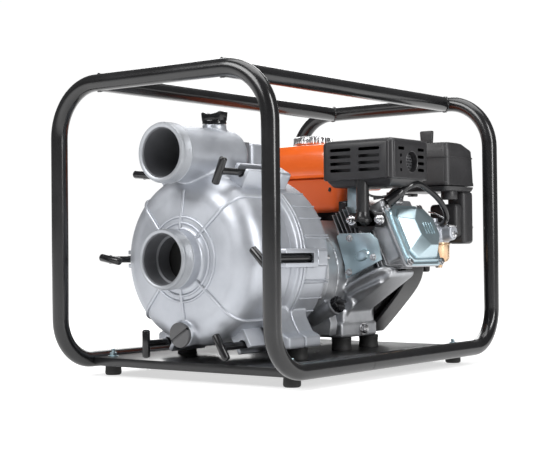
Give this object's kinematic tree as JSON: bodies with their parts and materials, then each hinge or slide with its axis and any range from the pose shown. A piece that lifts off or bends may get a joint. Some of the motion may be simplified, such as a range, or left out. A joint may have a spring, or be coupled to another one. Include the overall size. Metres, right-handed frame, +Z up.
{
  "type": "gas engine trash pump",
  "caption": "Trash pump: a cast self-priming pump with suction and discharge ports, driven by a petrol engine, on a rubber-footed base pan inside a bent tube frame.",
  "frame": {"origin": "on the ground under the rubber feet, midway between the frame's posts", "axes": "+Z up, -Y to the front where both hose ports face, +X to the side of the cylinder and muffler; the crankshaft runs along Y"},
  "size_m": [0.4354, 0.6454, 0.4597],
  "materials": {
    "black_enamel": "satin black enamel",
    "rubber": "matt black rubber",
    "gasket_rubber": "dark grey rubber",
    "cast_aluminium": "bead-blasted casting",
    "engine_casting": "die casting",
    "zinc_plate": "bright zinc plate with a blue tint",
    "cast_iron": "as cast, machined at the bore",
    "tank_orange": "gloss orange enamel",
    "chrome": "polished chrome plate",
    "brass": "yellow passivated",
    "steel": "machined",
    "filter_foam": "dark foam",
    "black_plastic": "fine texture"
  },
  "bodies": {
    "pump_set": {"air_cleaner_base": "black_plastic", "air_cleaner_cover": "black_plastic", "base_pan": "black_enamel", "carburettor": "cast_aluminium", "cover_seal": "rubber", "crankcase_cover": "engine_casting", "cylinder_block": "engine_casting", "cylinder_head": "engine_casting", "cylinder_shroud": "zinc_plate", "discharge_gasket": "gasket_rubber", "engine_mount_front_left": "rubber", "engine_mount_front_right": "rubber", "engine_mount_rear_left": "rubber", "engine_mount_rear_right": "rubber", "exhaust_pipe": "black_enamel", "fan_housing": "black_enamel", "filter_element": "filter_foam", "float_bowl": "brass", "foot_front_left": "rubber", "foot_front_right": "rubber", "foot_rear_left": "rubber", "foot_rear_right": "rubber", "frame_front_hoop": "black_enamel", "frame_rear_hoop": "black_enamel", "front_cover": "cast_aluminium", "fuel_tank": "tank_orange", "inner_volute": "cast_iron", "mechanical_seal": "rubber", "muffler": "black_enamel", "muffler_guard": "black_enamel", "oil_drain_bolt": "steel", "plug_lead": "rubber", "pump_mount_left": "rubber", "pump_mount_right": "rubber", "rear_casing": "cast_aluminium", "recoil_cover": "black_enamel", "spark_plug": "steel", "top_rail_left": "black_enamel", "top_rail_right": "black_enamel", "valve_cover": "zinc_plate"},
    "rotor": {"crankshaft": "steel", "impeller": "cast_iron", "flywheel": "cast_iron"},
    "knob_1": {"clamp_knob_1": "black_plastic"},
    "knob_2": {"clamp_knob_2": "black_plastic"},
    "knob_3": {"clamp_knob_3": "black_plastic"},
    "knob_4": {"clamp_knob_4": "black_plastic"},
    "knob_5": {"clamp_knob_5": "black_plastic"},
    "knob_6": {"clamp_knob_6": "black_plastic"},
    "flap": {"suction_flap": "rubber"},
    "priming_cap_body": {"priming_cap": "black_plastic"},
    "drain_plug_body": {"drain_plug": "black_plastic"},
    "oil_filler_cap_body": {"oil_filler_cap": "black_plastic"},
    "fuel_cap_body": {"fuel_cap": "chrome"},
    "air_cleaner_knob_body": {"air_cleaner_knob": "black_plastic"},
    "throttle_body": {"throttle_lever": "black_plastic"},
    "choke_body": {"choke_lever": "black_plastic"},
    "fuel_valve_body": {"fuel_valve_lever": "black_plastic"},
    "switch_body": {"stop_switch": "black_plastic"},
    "grip_body": {"starter_grip": "black_plastic"}
  },
  "joints": [
    {"name": "crank_spin", "type": "hinge", "parent": "pump_set", "child": "rotor", "pos_m": [0, 0, 0.157], "axis": [0, 1, 0], "continuous": true},
    {"name": "knob_1_turn", "type": "hinge", "parent": "pump_set", "child": "knob_1", "pos_m": [0.1465, -0.26, 0.181], "axis": [0, 1, 0], "range_deg": [-720, 0]},
    {"name": "knob_2_turn", "type": "hinge", "parent": "pump_set", "child": "knob_2", "pos_m": [0.07325, -0.26, 0.30787], "axis": [0, 1, 0], "range_deg": [-720, 0]},
    {"name": "knob_3_turn", "type": "hinge", "parent": "pump_set", "child": "knob_3", "pos_m": [-0.07325, -0.26, 0.30787], "axis": [0, 1, 0], "range_deg": [-720, 0]},
    {"name": "knob_4_turn", "type": "hinge", "parent": "pump_set", "child": "knob_4", "pos_m": [-0.1465, -0.26, 0.181], "axis": [0, 1, 0], "range_deg": [-720, 0]},
    {"name": "knob_5_turn", "type": "hinge", "parent": "pump_set", "child": "knob_5", "pos_m": [-0.07325, -0.26, 0.05413], "axis": [0, 1, 0], "range_deg": [-720, 0]},
    {"name": "knob_6_turn", "type": "hinge", "parent": "pump_set", "child": "knob_6", "pos_m": [0.07325, -0.26, 0.05413], "axis": [0, 1, 0], "range_deg": [-720, 0]},
    {"name": "flap_swing", "type": "hinge", "parent": "pump_set", "child": "flap", "pos_m": [0, -0.243, 0.23], "axis": [1, 0, 0], "range_deg": [0, 45]},
    {"name": "priming_cap_turn", "type": "hinge", "parent": "pump_set", "child": "priming_cap_body", "pos_m": [0, -0.183, 0.3843], "axis": [0, 0, 1], "range_deg": [0, 1080]},
    {"name": "drain_plug_turn", "type": "hinge", "parent": "pump_set", "child": "drain_plug_body", "pos_m": [0, -0.2623, 0.0701], "axis": [0, -0.9968, -0.0804], "range_deg": [0, 1080]},
    {"name": "oil_filler_cap_turn", "type": "hinge", "parent": "pump_set", "child": "oil_filler_cap_body", "pos_m": [0.09087, 0.003, 0.10334], "axis": [0.8913, 0, 0.4535], "range_deg": [0, 1080]},
    {"name": "fuel_cap_turn", "type": "hinge", "parent": "pump_set", "child": "fuel_cap_body", "pos_m": [-0.055, 0.15, 0.3788], "axis": [0, 0, 1], "range_deg": [0, 90]},
    {"name": "air_cleaner_knob_turn", "type": "hinge", "parent": "pump_set", "child": "air_cleaner_knob_body", "pos_m": [0.116, 0.25, 0.3713], "axis": [0, 0, 1], "range_deg": [0, 1800]},
    {"name": "throttle_swing", "type": "hinge", "parent": "pump_set", "child": "throttle_body", "pos_m": [0.0645, 0.2135, 0.288], "axis": [0, 0, 1], "range_deg": [0, 35]},
    {"name": "choke_swing", "type": "hinge", "parent": "pump_set", "child": "choke_body", "pos_m": [0.124, 0.24, 0.234], "axis": [1, 0, 0], "range_deg": [0, 40]},
    {"name": "fuel_valve_swing", "type": "hinge", "parent": "pump_set", "child": "fuel_valve_body", "pos_m": [0.124, 0.216, 0.214], "axis": [1, 0, 0], "range_deg": [0, 60]},
    {"name": "switch_turn", "type": "hinge", "parent": "pump_set", "child": "switch_body", "pos_m": [-0.067, 0.2588, 0.221], "axis": [0, 1, 0], "range_deg": [-60, 0]},
    {"name": "starter_pull", "type": "slide", "parent": "pump_set", "child": "grip_body", "axis": [1, 0, 0], "range_m": [0, 0.6], "stiffness_N_per_m": 15}
  ]
}
